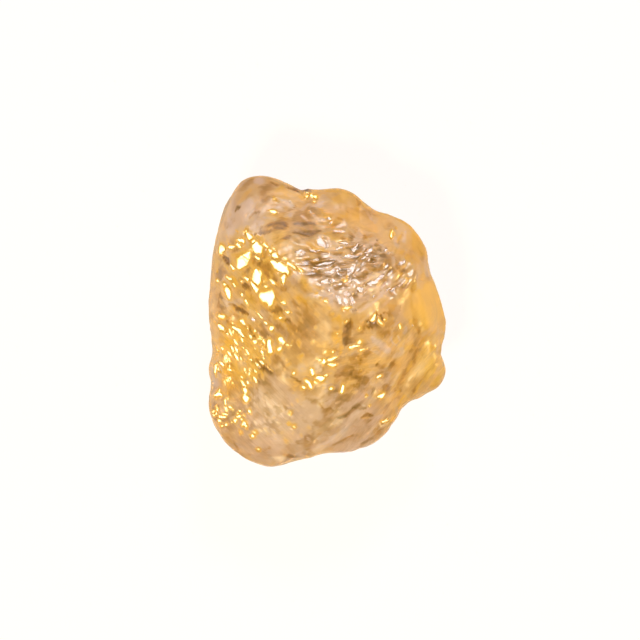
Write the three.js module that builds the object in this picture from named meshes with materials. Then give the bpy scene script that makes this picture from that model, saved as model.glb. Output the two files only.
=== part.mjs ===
// A rough morganite crystal of 79 carats, lying on its flattest break.
//
// The stone is one solid. It starts as a rounded blank: a ball of small triangles whose plan is the
// stone's outline at its widest level, the girdle. Large fracture surfaces then cut the blank above
// and below, and ledges, grooves, lumps and pits are raised or sunk on what is left.
//
// Millimetres, +Z up. The origin is on the table, under the middle of the stone's box.

import * as THREE from "three";
import { mergeVertices } from "three/addons/utils/BufferGeometryUtils.js";

// ---------------------------------------------------------------- driving dimensions

const GIRDLE_HEIGHT = 7.4; // level of the widest outline above the table
const GIRDLE_SWING = 1.1; // how far that level rises on the right and falls on the left
const CROWN_HEIGHT = 11.0; // top of the uncut blank above the girdle
const BASE_DEPTH = 8.6; // bottom of the uncut blank below the girdle
const SHOULDER_POWER = 0.8; // below 1 makes the blank's shoulders fuller than an ellipsoid's
const EDGE_ROUNDING = 0.5; // width over which two fracture surfaces run into each other
const MESH_DETAIL = 21; // 20 * (MESH_DETAIL + 1)^2 triangles
const HEIGHT_STRETCH = 1.022; // on all heights, so that the stone holds the volume of its 79 carats

// The outline at the girdle, anticlockwise from the right-hand end.
const OUTLINE = [
  [11.5, 0.0],
  [11.0, 2.3],
  [10.1, 4.5],
  [9.7, 5.7],
  [9.6, 7.0],
  [8.2, 9.2],
  [6.2, 10.5],
  [4.7, 10.7],
  [3.7, 11.5],
  [2.4, 12.5],
  [0.8, 12.9],
  [-1.2, 12.7],
  [-2.6, 12.8],
  [-4.3, 13.5],
  [-6.4, 14.1],
  [-8.0, 13.7],
  [-9.2, 12.4],
  [-10.2, 10.3],
  [-11.0, 7.2],
  [-11.3, 4.6],
  [-11.5, 2.2],
  [-11.4, 0.2],
  [-11.1, -1.2],
  [-11.3, -2.4],
  [-11.1, -3.4],
  [-11.5, -4.8],
  [-11.3, -6.4],
  [-11.6, -8.3],
  [-10.8, -10.0],
  [-9.1, -12.6],
  [-6.6, -13.9],
  [-4.6, -14.1],
  [-2.4, -13.4],
  [0.0, -12.8],
  [2.7, -12.5],
  [5.1, -11.4],
  [6.6, -9.6],
  [7.5, -8.3],
  [9.1, -7.3],
  [10.9, -6.3],
  [11.4, -5.1],
  [11.1, -3.5],
  [11.3, -2.0],
];

// Fracture surfaces of the upper side. Each passes through a point and falls towards an azimuth
// (0 is +X, 90 is +Y) at its dip. A curve radius makes it hollow, or domed if it is negative.
const SUMMIT = [1.2, 0.2, 17.6];
const UPPER_BREAKS = [
  { name: "left face", at: SUMMIT, towards: 196, dip: 26 },
  { name: "lower left face", at: [0.2, -3.5, 16.7], towards: 238, dip: 31 },
  { name: "top left knob", at: [-8.0, 8.3, 13.7], towards: 108, dip: 30, curve: -22 },
  { name: "left flank", at: [-10.0, 1.0, 12.3], towards: 181, dip: 61 },
  { name: "right face", at: SUMMIT, towards: 318, dip: 24 },
  { name: "right wing", at: [7.4, -6.2, 11.7], towards: 318, dip: 30 },
  { name: "right flank", at: [8.8, 2.0, 14.1], towards: 8, dip: 60, curve: -14 },
  { name: "bottom face", at: [1.5, -8.4, 13.6], towards: 283, dip: 39, curve: 30 },
];

// The hollow in the upper right: a floor that falls away from the summit, and walls that rise again.
const HOLLOW_FLOOR = { at: [2.6, 4.2, 15.3], towards: 80, dip: 25, curve: 24 };
const HOLLOW_WALLS = [
  { name: "top wall", at: [0.0, 7.2, 13.9], towards: 97, dip: -50 },
  { name: "top right wall", at: [5.3, 5.7, 14.2], towards: 48, dip: -48 },
];

// Straight ribs, and grooves where the height is negative: from and to in plan, width and height.
const CREASES = [
  { name: "wing groove", from: [9.6, -1.6], to: [5.9, -9.6], width: 1.3, height: -0.55 },
  { name: "lower rib", from: [4.2, -6.8], to: [-2.2, -12.4], width: 1.1, height: 0.4 },
  { name: "summit rib", from: [1.2, 0.2], to: [0.6, -6.4], width: 0.9, height: 0.25 },
  { name: "band edge", from: [8.2, 6.2], to: [9.4, -1.4], width: 0.9, height: 0.3 },
];

// Fracture surfaces of the underside: each rises towards its azimuth.
const LOWER_BREAKS = [
  { name: "right underside", at: [3.6, -1.0, 0], towards: 4, dip: 40 },
  { name: "upper underside", at: [0.0, 6.4, 0], towards: 78, dip: 46 },
  { name: "upper right underside", at: [3.4, 4.6, 0], towards: 42, dip: 41 },
  { name: "lower right underside", at: [2.0, -6.4, 0], towards: 312, dip: 43 },
  { name: "left underside", at: [-6.8, 0.0, 0], towards: 184, dip: 44 },
  { name: "bottom underside", at: [-4.5, -9.6, 0], towards: 262, dip: 47 },
  { name: "upper left underside", at: [-6.2, 7.8, 0], towards: 128, dip: 45 },
];

// Sets of parallel ripples in a round patch of the plan: their lines' azimuth, spacing and height.
// Ledges are steps that climb across the lines in place of even waves.
const RIPPLES = [
  { name: "hackles", at: [2.2, 4.0], radius: 5.8, lines: 6, spacing: 2.0, height: 0.22 },
  { name: "right hackles", at: [5.8, 4.4], radius: 3.8, lines: 44, spacing: 2.0, height: 0.18 },
  { name: "terraces", at: [-2.0, 8.2], radius: 5.0, lines: -4, spacing: 1.8, height: 0.42, ledges: true },
  { name: "left striae", at: [-4.6, 1.2], radius: 8.6, lines: -56, spacing: 2.4, height: 0.16 },
  { name: "wing streaks", at: [8.2, -4.6], radius: 4.6, lines: 56, spacing: 2.0, height: 0.24 },
  { name: "bottom streaks", at: [2.4, -10.2], radius: 4.4, lines: 33, spacing: 2.2, height: 0.16 },
  { name: "summit steps", at: [4.6, -2.4], radius: 4.4, lines: 14, spacing: 2.3, height: 0.26, ledges: true },
];
const UNDERSIDE_RIPPLES = [
  { name: "right underside", at: [8.6, -1.0], radius: 6.4, lines: 96, spacing: 2.4, height: 0.26 },
  { name: "top underside", at: [0.0, 10.0], radius: 6.0, lines: 4, spacing: 2.1, height: 0.3, ledges: true },
  { name: "left underside", at: [-9.6, -1.0], radius: 7.0, lines: 82, spacing: 2.0, height: 0.26 },
  { name: "base", at: [-1.4, -0.6], radius: 13.0, lines: 66, spacing: 2.6, height: 0.36 },
];

// Round dents: place in plan, radius and depth.
const PITS = [
  { at: [4.8, 0.5], radius: 0.9, depth: 0.45 },
  { at: [2.2, -1.3], radius: 1.1, depth: 0.4 },
  { at: [-8.4, -10.2], radius: 1.3, depth: 0.25 },
  { at: [-3.0, 10.9], radius: 1.4, depth: 0.35 },
  { at: [6.9, 8.0], radius: 1.0, depth: 0.25 },
  { at: [-6.2, -4.6], radius: 1.5, depth: 0.25 },
];

// Lumps all over the stone: the size of one lump and how far it stands out or in.
const LUMPS = [
  { size: 4.4, height: 0.36 },
  { size: 2.1, height: 0.16 },
];
const UNDERSIDE_LUMPS = [{ size: 3.1, height: 0.42 }];
const UNDERSIDE_LIFT = 0.12; // raises the underside, so that only its crests touch the table

// ---------------------------------------------------------------- small helpers

const radians = THREE.MathUtils.degToRad;
const smoothstep = THREE.MathUtils.smoothstep;

// The lower of two heights, with the edge between them rounded off.
function softMin(a, b, width) {
  const near = Math.max(width - Math.abs(a - b), 0) / width;
  return Math.min(a, b) - (near * near * width) / 4;
}

const softMax = (a, b, width) => -softMin(-a, -b, width);

// A repeatable number from 0 to 1 for each point of the integer grid.
function gridValue(i, j, k) {
  const mixed = Math.sin(i * 127.1 + j * 311.7 + k * 74.7) * 43758.5453;
  return mixed - Math.floor(mixed);
}

// Smooth noise from -1 to 1, with one lump to about every unit of length.
function noise(x, y, z) {
  const [i, j, k] = [x, y, z].map(Math.floor);
  const [u, v, w] = [x - i, y - j, z - k].map((t) => t * t * (3 - 2 * t));
  const mix = THREE.MathUtils.lerp;
  const layer = (kk) =>
    mix(
      mix(gridValue(i, j, kk), gridValue(i + 1, j, kk), u),
      mix(gridValue(i, j + 1, kk), gridValue(i + 1, j + 1, kk), u),
      v,
    );
  return 2 * mix(layer(k), layer(k + 1), w) - 1;
}

// 1 inside a round patch of the plan, falling to 0 at its edge.
function patch(x, y, [centreX, centreY], radius) {
  return 1 - smoothstep(Math.hypot(x - centreX, y - centreY), radius * 0.55, radius);
}

// Distance across a set of parallel lines that run along an azimuth.
function across(x, y, lineAzimuth) {
  const a = radians(lineAzimuth);
  return y * Math.cos(a) - x * Math.sin(a);
}

// ---------------------------------------------------------------- blank and fractures

// The outline's radius from the middle at each whole fraction of a turn.
const OUTLINE_STEPS = 720;
const outlineTable = (() => {
  const corners = OUTLINE.map(([x, y]) => new THREE.Vector3(x, y, 0));
  const curve = new THREE.CatmullRomCurve3(corners, true, "centripetal");
  const points = curve.getPoints(OUTLINE_STEPS * 4);
  const table = new Array(OUTLINE_STEPS).fill(0);
  for (const { x, y } of points) {
    const turn = (Math.atan2(y, x) / (2 * Math.PI) + 1) % 1;
    table[Math.round(turn * OUTLINE_STEPS) % OUTLINE_STEPS] = Math.hypot(x, y);
  }
  return table;
})();

function outlineRadius(azimuth) {
  const turn = (azimuth / (2 * Math.PI) + 1) % 1;
  const step = turn * OUTLINE_STEPS;
  const low = Math.floor(step);
  const a = outlineTable[low % OUTLINE_STEPS];
  const b = outlineTable[(low + 1) % OUTLINE_STEPS];
  return THREE.MathUtils.lerp(a, b, step - low);
}

// A point of the rounded blank in a direction from its middle.
function blankPoint(direction) {
  const azimuth = Math.atan2(direction.y, direction.x);
  const level = Math.hypot(direction.x, direction.y);
  const radius = outlineRadius(azimuth) * level ** SHOULDER_POWER;
  const rise = Math.abs(direction.z) ** SHOULDER_POWER;
  const girdle = GIRDLE_HEIGHT + GIRDLE_SWING * Math.cos(azimuth) * level;
  const height = direction.z > 0 ? rise * CROWN_HEIGHT : -rise * BASE_DEPTH;
  return new THREE.Vector3(radius * Math.cos(azimuth), radius * Math.sin(azimuth), girdle + height);
}

// How far a fracture surface falls, or rises on the underside, from its point to (x, y).
function fall({ at, towards, dip, curve }, x, y) {
  const [dx, dy] = [x - at[0], y - at[1]];
  const along = dx * Math.cos(radians(towards)) + dy * Math.sin(radians(towards));
  const curl = curve ? (dx * dx + dy * dy) / (2 * curve) : 0;
  return along * Math.tan(radians(dip)) - curl;
}

const heightOf = (surface, x, y) => surface.at[2] - fall(surface, x, y);

function hollowHeight(x, y) {
  const floor = heightOf(HOLLOW_FLOOR, x, y);
  const climb = (height, wall) => softMax(height, heightOf(wall, x, y), 2 * EDGE_ROUNDING);
  return HOLLOW_WALLS.reduce(climb, floor);
}

function cutAbove(point) {
  const heights = UPPER_BREAKS.map((surface) => heightOf(surface, point.x, point.y));
  heights.push(hollowHeight(point.x, point.y));
  point.z = heights.reduce((low, height) => softMin(low, height, EDGE_ROUNDING), point.z);
}

function cutBelow(point) {
  for (const surface of LOWER_BREAKS) {
    const height = surface.at[2] + fall(surface, point.x, point.y);
    point.z = softMax(point.z, height, EDGE_ROUNDING);
  }
  point.z = Math.max(point.z, 0);
}

// ---------------------------------------------------------------- relief

function ripple({ at, radius, lines, spacing, height, ledges }, { x, y, z }) {
  const share = patch(x, y, at, radius);
  if (share === 0) return 0;
  const wander = spacing * 0.9 * noise(x / 2.6 + at[0], y / 2.6 + at[1], z / 2.6);
  const phase = (across(x, y, lines) + wander) / spacing;
  const step = phase - Math.floor(phase);
  const profile = ledges ? 2 * smoothstep(step, 0.55, 1) - 2 * step + 0.45 : Math.cos(phase * 2 * Math.PI);
  const fading = 0.65 + 0.5 * noise(x / 1.9, y / 1.9, z / 1.9 + 31);
  return share * height * profile * fading;
}

function crease({ from, to, width, height }, { x, y }) {
  const [dx, dy] = [to[0] - from[0], to[1] - from[1]];
  const raw = ((x - from[0]) * dx + (y - from[1]) * dy) / (dx * dx + dy * dy);
  const t = THREE.MathUtils.clamp(raw, 0, 1);
  const distance = Math.hypot(x - from[0] - t * dx, y - from[1] - t * dy);
  return height * (1 - smoothstep(distance, 0, width));
}

function pit({ at, radius, depth }, { x, y }) {
  return -depth * (1 - smoothstep(Math.hypot(x - at[0], y - at[1]), 0, radius));
}

function lump({ size, height }, { x, y, z }) {
  return height * noise(x / size + 7, y / size + 3, z / size + 5);
}

// How far the surface stands out along its normal, over the smooth fractures.
function relief(point, isUpper) {
  const total = (features, rise) => features.reduce((sum, feature) => sum + rise(feature, point), 0);
  const both = total(LUMPS, lump);
  if (isUpper) return both + total(RIPPLES, ripple) + total(CREASES, crease) + total(PITS, pit);
  return both + total(UNDERSIDE_RIPPLES, ripple) + total(UNDERSIDE_LUMPS, lump) - UNDERSIDE_LIFT;
}

// ---------------------------------------------------------------- the stone

function morganiteGeometry() {
  const ball = new THREE.IcosahedronGeometry(1, MESH_DETAIL);
  ball.deleteAttribute("normal");
  ball.deleteAttribute("uv");
  const stone = mergeVertices(ball, 1e-5);
  const position = stone.getAttribute("position");
  const isUpper = [];
  const point = new THREE.Vector3();
  for (let i = 0; i < position.count; i += 1) {
    point.fromBufferAttribute(position, i);
    isUpper.push(point.z > 0);
    point.copy(blankPoint(point));
    if (isUpper[i]) cutAbove(point);
    else cutBelow(point);
    position.setXYZ(i, point.x, point.y, point.z);
  }
  stone.computeVertexNormals();
  const normal = new THREE.Vector3();
  for (let i = 0; i < position.count; i += 1) {
    point.fromBufferAttribute(position, i);
    normal.fromBufferAttribute(stone.getAttribute("normal"), i);
    point.addScaledVector(normal, relief(point, isUpper[i]));
    position.setXYZ(i, point.x, point.y, Math.max(point.z, 0));
  }
  stone.scale(1, 1, HEIGHT_STRETCH);
  stone.computeBoundingBox();
  const middle = stone.boundingBox.getCenter(new THREE.Vector3());
  return stone.translate(-middle.x, -middle.y, 0);
}

const material = new THREE.MeshStandardMaterial({ color: 0xe0a868, roughness: 0.1, metalness: 0 });
const crystal = new THREE.Mesh(morganiteGeometry(), material);
crystal.name = "morganite_crystal";

const specimen = new THREE.Group();
specimen.add(crystal);

export default specimen;
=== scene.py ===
"""A rough morganite crystal of 79 carats on a white table, seen from straight above."""

import itertools
import math

import bmesh
import bpy
import numpy as np
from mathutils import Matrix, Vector


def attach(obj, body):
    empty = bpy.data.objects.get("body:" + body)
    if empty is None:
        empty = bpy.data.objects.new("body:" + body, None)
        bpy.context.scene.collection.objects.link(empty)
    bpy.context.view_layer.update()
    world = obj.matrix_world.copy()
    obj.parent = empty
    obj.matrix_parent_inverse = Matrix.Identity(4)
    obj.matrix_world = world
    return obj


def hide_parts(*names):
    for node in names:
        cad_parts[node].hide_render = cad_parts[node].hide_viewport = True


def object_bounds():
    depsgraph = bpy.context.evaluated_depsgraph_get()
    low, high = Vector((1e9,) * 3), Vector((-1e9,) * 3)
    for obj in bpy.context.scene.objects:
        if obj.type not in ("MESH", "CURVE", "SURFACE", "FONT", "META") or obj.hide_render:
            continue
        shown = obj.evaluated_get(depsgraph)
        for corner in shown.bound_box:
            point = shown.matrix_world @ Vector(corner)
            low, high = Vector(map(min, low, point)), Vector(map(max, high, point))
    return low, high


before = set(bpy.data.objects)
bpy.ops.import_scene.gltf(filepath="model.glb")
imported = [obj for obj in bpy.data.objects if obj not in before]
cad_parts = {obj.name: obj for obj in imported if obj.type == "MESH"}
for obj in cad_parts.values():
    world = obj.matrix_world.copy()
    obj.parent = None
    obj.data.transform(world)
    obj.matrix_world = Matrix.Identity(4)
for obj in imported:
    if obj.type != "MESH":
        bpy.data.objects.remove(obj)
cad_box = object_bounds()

# ------------------------------ driving values
# Lengths are in millimetres and angles in degrees, unless a name says otherwise.
# An azimuth is 0 along +X and 90 along +Y, in the plan. A run is the azimuth of a streak's length.
# Where a pair of values is given for a share, it begins at the first and is full at the second.

MM = 0.001
SEED = 79
FAR = 99.0  # more than any distance counted in half widths or cells
TINY = 1e-9  # keeps a division from zero

# The mesh.
WELD = 0.0001  # corners of the solid's triangles that are nearer are one
RESTING = 0.001  # what lies lower is what the crystal rests on
SMOOTHING = (0.5, -0.52)  # steps of a round that rounds edges off but keeps the size
COARSE_ROUNDS, FINE_ROUNDS = 8, 4
SEAM = (5.0, 7.0)  # heights of the seam between the walls and the underside
SEAM_FADE = 1.0  # in which its softening ends, below and above
SEAM_STEP, SEAM_ROUNDS = 0.5, 12
FINE_BELOW = 1.0  # that the finer mesh begins below the crown
FACET_MARGINS = (0.15, 0.03)  # around facets, where the mesh is divided once and twice more
# Round patches where the crown's mesh is also finer: place in plan and radius.
DETAIL_ZONES = [(2.6, 4.8, 3.4), (-8.6, -3.2, 2.6)]

# The parts of the skin. A slope is the height of the normal: 1 faces up, and -1 down.
CROWN = (5.5, 8.0)  # heights
OPEN_SLOPE = (0.2, 0.5)  # of the crown without its steep rim
RIM_SLOPE = (0.1, 0.55)  # where the rim ends
UNDER_SLOPE = (0.0, 0.4)  # of the underside, counted down
UNDER_ROUNDS = 6  # that soften the underside's edge

# The camera, which looks straight down, and the table.
CAMERA_LENS_MM = 300.0
CAMERA_SENSOR_MM = 36.0
CAMERA_NEAR = 10.0
VIEW_WIDTH = 62.1  # of the picture, at the height of the aim
AIM = (-0.63, 0.1, 8.0)
TABLE_WIDTH = 3000.0
TABLE_GAP = 0.04  # under the crystal
TABLE_COLOUR = (0.06, 0.06, 0.06)
TABLE_ROUGHNESS = 0.8
TABLE_GLOW, TABLE_GLOW_STRENGTH = (1, 0.955, 0.93), 0.95  # pale all over
BOUNCES, GLOSSY_BOUNCES = 24, 16  # of light

# Soft square lights: azimuth, elevation, width, radiance and colour. All are equally far away.
LIGHTS = {
    "gold_light": (242, 60, 140, 150, (1, 0.8, 0.42)),
    "silver_softbox": (80, 42, 180, 39, (0.95, 0.95, 1)),
    "warm_side_light": (5, 12, 220, 30, (1, 0.72, 0.3)),
}
LIGHT_DISTANCE = 800.0
SKY = [(0.15, (0.56, 0.47, 0.37)), (0.8, (0.16, 0.158, 0.156))]  # by the height of the view's direction

# ------------------------------ the crystal's form

# How far the outline stands out at each azimuth, and the distances from the middle and the heights
# where it begins to.
OUTLINE = [
    (0, 0.1), (8, 0.05), (16, -0.3), (24, -0.45), (32, -0.25), (40, -0.35), (56, -0.3), (66, -0.2),
    (73, -0.3), (80, -0.15), (88, 0.15), (98, 0.15), (101, -0.1), (104, 0.15), (108, 0.25), (120, 0.1),
    (132, 0.1), (144, -0.15), (154, -0.2), (168, -0.3), (176, -0.15), (184, 0.1), (192, -0.2), (200, 0),
    (208, -0.2), (218, 0), (226, 0), (232, 0.2), (240, 0.45), (248, 0.4), (256, 0.05), (264, 0.25),
    (272, 0.2), (280, 0.3), (290, 0.1), (298, 0), (304, 0.3), (312, 0.15), (322, 0), (336, -0.1),
    (344, -0.3), (352, 0.15), (360, 0.1),
]
OUTLINE_REACH, OUTLINE_HEIGHT = (7.5, 10.5), (4, 7)
# How far the walls at the back stand out at each height, so that only the crown's rim is seen.
BACK_WALL = [(4, 0), (7.5, -0.6), (9.3, -0.45), (10.3, 0.12), (11.2, 0)]
BACK_WAY = (0.5, 0.87)  # the back is the side that faces this way
BACK_REACH, BACK_SLOPE = (5, 9), (0.2, 0.6)
# Ribs of straight flanks under the stone: the way they run, spacing and height.
UNDER_RIBS = [(60, 3.1, 0.3), (-30, 3.7, 0.2)]
RIB_LUMPS = (3, 1.6, 3)  # spacings of the noise that bends them: along, across and in height
RIB_WANDER = 0.6  # spacings that it bends them
UNDER_SINK = 0.4  # that the underside is drawn in, to make room for the ribs
BOX_MARGIN = 0.15  # that the skin may stand out of the solid's box

# Streaks in round patches of the crown: place and radius, the way they run, their length, width and
# height, their shade (painted shade in the hollows between and painted light on the crests, by the same
# pattern, and the strength of their random tone and hue), and whether they have sharp crests.
STREAKS = [
    ((1.2, 5), 5.6, 4, 1.6, 0.42, 0.13, 0.5, True),
    ((5.2, 4.8), 4.8, 38, 1.3, 0.42, 0.12, 0.4, True),
    ((-4.6, 0.5), 8.6, -42, 1.9, 0.34, 0.06, 0.42, False),
    ((8.4, -4.4), 5, 56, 2.4, 0.36, 0.08, 0.6, False),
    ((3.4, -9), 5.4, 33, 2.4, 0.42, 0.05, 0.5, False),
    ((3, -3.4), 4.6, 14, 1.6, 0.4, 0.035, 0.4, False),
    ((-2, 8.8), 4.8, -4, 2.6, 0.5, 0.04, 0.3, False),
    ((-8.6, -3.4), 3.9, -56, 1, 0.36, 0.07, 0.5, True),
    ((-6.4, 10.6), 4.4, 30, 1.8, 0.6, 0.03, 0.35, False),
    ((-6.4, -9.2), 5.4, -52, 1.6, 0.4, 0.03, 0.35, False),
]
STREAK_WANDER = 0.8  # of their width that they bend aside
STREAK_BEND = 4  # widths in which they bend
HEIGHT_SHARE = 0.3  # how fast a pattern changes in height, as against across
# The streaks' own pattern is painted as shade in its hollows and as light on its crests.
RELIEF_PAINTED_SHADE, SHARD_SHADE = 1.1, 0.6  # of the streaks' own pattern and of the shards in it
SHADE_SHARD, HUE_SHARD = (1, 1.5), (1.3, 2)  # sizes of those shards, in the streaks' length and width
STREAK_SEED, WANDER_SEED, RIB_SEED = 3, 53, 21
SHADE_SEED, HUE_SEED = 80, 130  # shards take four seeds each

# Noise: amount, length of a lump and seed.
RAGGED_WAVES = [(0.12, 0.8, 41), (0.04, 0.35, 43)]  # make the edges of strokes and shards ragged
SWELL = (0.04, 1.9, 1)  # of the whole skin
HACKLE = (0.05, 0.9, 2)  # sharp creases of the crown
RIPPLE_LENGTH, RIPPLE_SEED = 0.34, 45  # of the facets

# ------------------------------ the crystal's glints and markings
# A stroke is a path of (x, y, width) points in the plan.

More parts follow.
